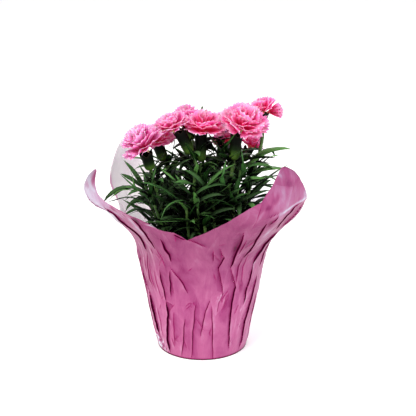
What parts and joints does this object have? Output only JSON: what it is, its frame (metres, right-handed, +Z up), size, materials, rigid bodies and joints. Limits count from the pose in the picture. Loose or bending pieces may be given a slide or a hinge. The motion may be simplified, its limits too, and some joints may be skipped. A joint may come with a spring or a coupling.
{
  "type": "potted dianthus",
  "caption": "Potted dianthus: double pink flowers over narrow green leaves, in a nursery pot wrapped in a pleated pink foil cover with four flared corners.",
  "frame": {"origin": "centre of the foil cover's flat underside, where it stands", "axes": "+Z up along the pot; the front of the plant, with the low edge of the cover's collar, faces -Y; +X is to the right seen from the front"},
  "size_m": [0.2104, 0.2046, 0.255],
  "materials": {
    "pink_foil": "pearly metallic foil outside, white paper inside, pressed into overlapping pleats",
    "black_plastic": "thin blow-moulded polypropylene, matt",
    "potting_mix": "loose moist peat and bark crumbs",
    "leaf": "waxy narrow leaf, blue-green bloom",
    "calyx": "ribbed green calyx tube",
    "petal": "soft ruffled petals, deep pink at the base and pale at the edge"
  },
  "bodies": {
    "root": {"bud_01_calyx": "calyx", "bud_01_stem": "leaf", "flower_01_calyx": "calyx", "flower_01_petals": "petal", "flower_01_stem": "leaf", "flower_02_calyx": "calyx", "flower_02_petals": "petal", "flower_02_stem": "leaf", "flower_03_calyx": "calyx", "flower_03_petals": "petal", "flower_03_stem": "leaf", "flower_04_calyx": "calyx", "flower_04_petals": "petal", "flower_04_stem": "leaf", "flower_05_calyx": "calyx", "flower_05_petals": "petal", "flower_05_stem": "leaf", "flower_06_calyx": "calyx", "flower_06_petals": "petal", "flower_06_stem": "leaf", "flower_07_calyx": "calyx", "flower_07_petals": "petal", "flower_07_stem": "leaf", "flower_08_calyx": "calyx", "flower_08_petals": "petal", "flower_08_stem": "leaf", "flower_09_calyx": "calyx", "flower_09_petals": "petal", "flower_09_stem": "leaf", "flower_10_calyx": "calyx", "flower_10_petals": "petal", "flower_10_stem": "leaf", "leafy_shoot_01": "leaf", "leafy_shoot_02": "leaf", "leafy_shoot_03": "leaf", "leafy_shoot_04": "leaf", "leafy_shoot_05": "leaf", "leafy_shoot_06": "leaf", "leafy_shoot_07": "leaf", "leafy_shoot_08": "leaf", "leafy_shoot_09": "leaf", "leafy_shoot_10": "leaf", "leafy_shoot_11": "leaf", "leafy_shoot_12": "leaf", "leafy_shoot_13": "leaf", "leafy_shoot_14": "leaf", "leafy_shoot_15": "leaf", "leafy_shoot_16": "leaf", "leafy_shoot_17": "leaf", "leafy_shoot_18": "leaf", "leafy_shoot_19": "leaf", "leafy_shoot_20": "leaf", "leafy_shoot_21": "leaf", "leafy_shoot_22": "leaf", "nursery_pot": "black_plastic", "pot_cover": "pink_foil", "potting_mix": "potting_mix"}
  },
  "joints": []
}
